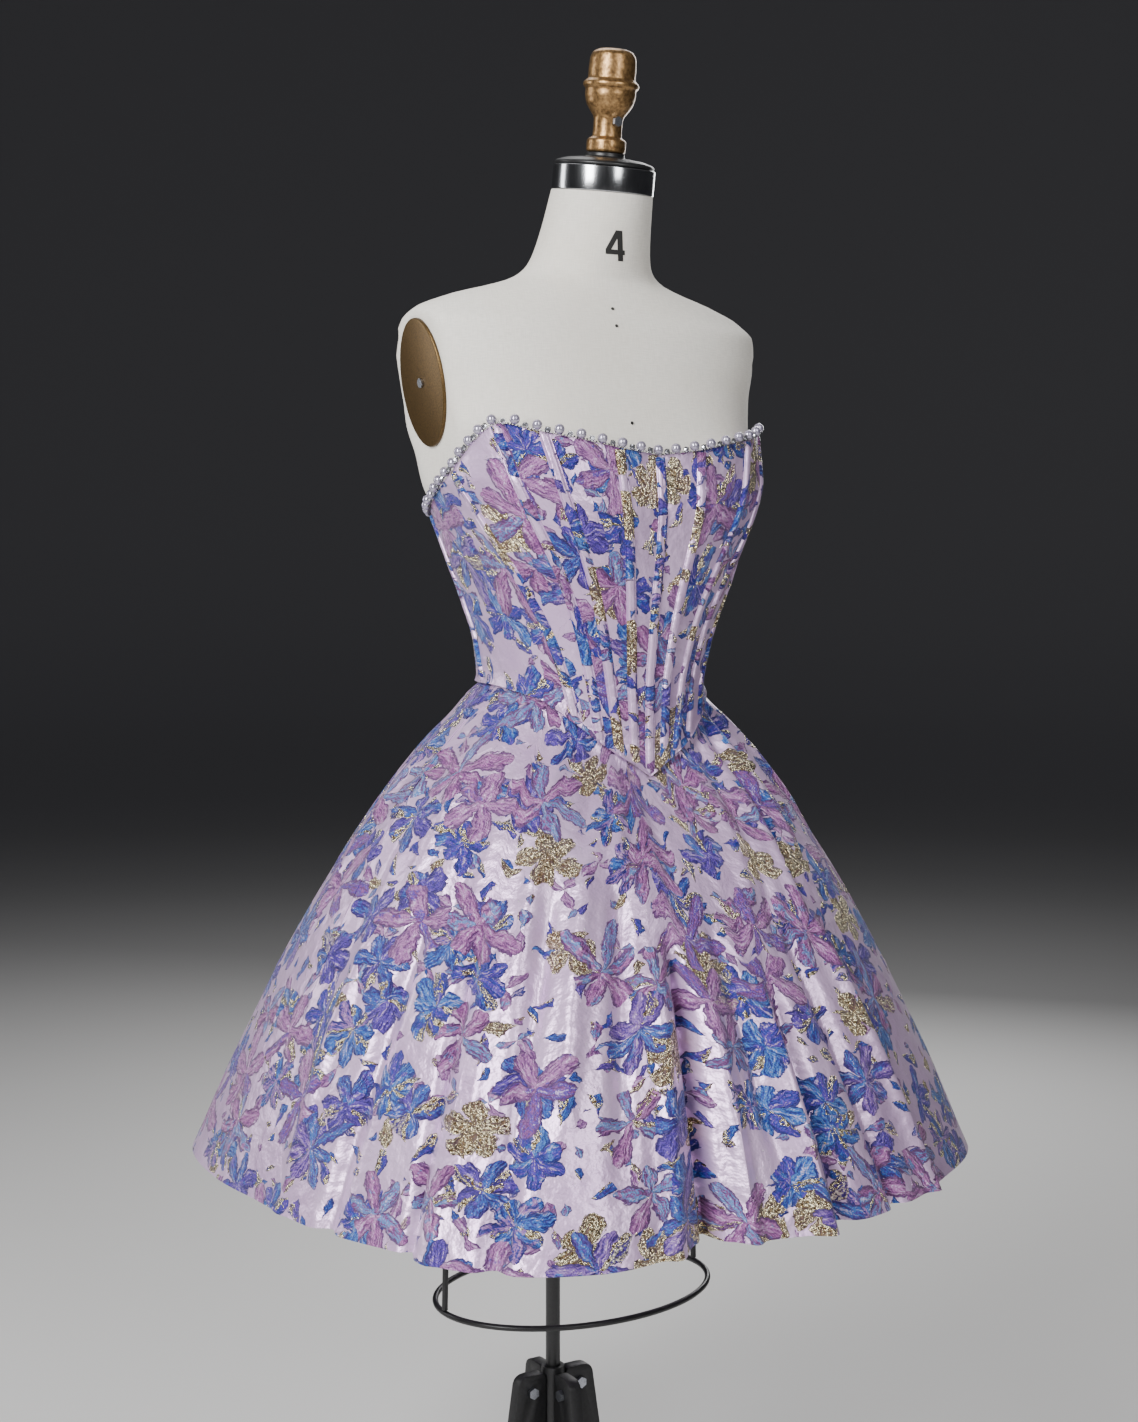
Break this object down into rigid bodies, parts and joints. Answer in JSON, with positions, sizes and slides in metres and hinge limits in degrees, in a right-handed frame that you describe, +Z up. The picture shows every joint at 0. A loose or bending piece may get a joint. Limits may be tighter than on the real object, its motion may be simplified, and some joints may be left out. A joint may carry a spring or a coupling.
{
  "type": "strapless homecoming dress on a limbless dress form with its stand",
  "caption": "Short strapless dress with a boned, pearl-edged bodice and a fluted skirt, worn by a limbless linen dress form on a sliding pole, with a wire hem cage and an arched stand.",
  "frame": {"origin": "on the floor under the middle of the hem", "axes": "+Z up along the pole, the dress's front faces -Y, +X is the wearer's left"},
  "size_m": [0.7403, 0.7596, 1.6585],
  "materials": {
    "brocade": "floral jacquard of satin and metallic yarn",
    "pearl": "pearl coating",
    "zip_metal": "nickel plate",
    "linen": "plain woven linen over a padded shell",
    "steel": "brushed round the axis",
    "gold_paint": "gold paint on a rough casting",
    "bronze_paint": "satin bronze",
    "black_paint": "satin black",
    "cast_black": "black enamel on cast iron"
  },
  "bodies": {
    "stand": {"stand_sleeve": "cast_black", "stand_leg_left": "cast_black", "stand_leg_back": "cast_black", "stand_leg_right": "cast_black", "stand_leg_front": "cast_black", "stand_bolt_left": "steel", "stand_bolt_back": "steel", "stand_bolt_right": "steel", "stand_bolt_front": "steel"},
    "form_and_dress": {"bodice_centre_front_right": "brocade", "bodice_inner_front_right": "brocade", "bodice_mid_front_right": "brocade", "bodice_outer_front_right": "brocade", "bodice_side_right": "brocade", "bodice_back_right": "brocade", "bodice_centre_front_left": "brocade", "bodice_inner_front_left": "brocade", "bodice_mid_front_left": "brocade", "bodice_outer_front_left": "brocade", "bodice_side_left": "brocade", "bodice_back_left": "brocade", "bone_channel_inner_front_right": "brocade", "bone_channel_mid_front_right": "brocade", "bone_channel_outer_front_right": "brocade", "bone_channel_side_front_right": "brocade", "bone_channel_side_back_right": "brocade", "bone_channel_inner_front_left": "brocade", "bone_channel_mid_front_left": "brocade", "bone_channel_outer_front_left": "brocade", "bone_channel_side_front_left": "brocade", "bone_channel_side_back_left": "brocade", "bone_channel_centre_front": "brocade", "neckline_pearls": "pearl", "skirt_front": "brocade", "skirt_back_left": "brocade", "skirt_back_right": "brocade", "zip_slider": "zip_metal", "form_linen": "linen", "arm_plate_right": "bronze_paint", "arm_plate_screw_right": "steel", "arm_plate_left": "bronze_paint", "arm_plate_screw_left": "steel", "neck_band": "steel", "neck_cap": "black_paint", "finial": "gold_paint", "finial_set_screw": "steel", "pole": "black_paint", "cage_ring": "black_paint", "cage_strut_right": "black_paint", "cage_strut_left": "black_paint"},
    "pull_tab": {"zip_pull_tab": "zip_metal"}
  },
  "joints": [
    {"name": "height_slide", "type": "slide", "parent": "stand", "child": "form_and_dress", "axis": [0, 0, 1], "range_m": [-0.02, 0.15]},
    {"name": "zip_pull_hinge", "type": "hinge", "parent": "form_and_dress", "child": "pull_tab", "pos_m": [0, 0.11354, 1.193], "axis": [1, 0, 0], "range_deg": [0, 100]}
  ]
}
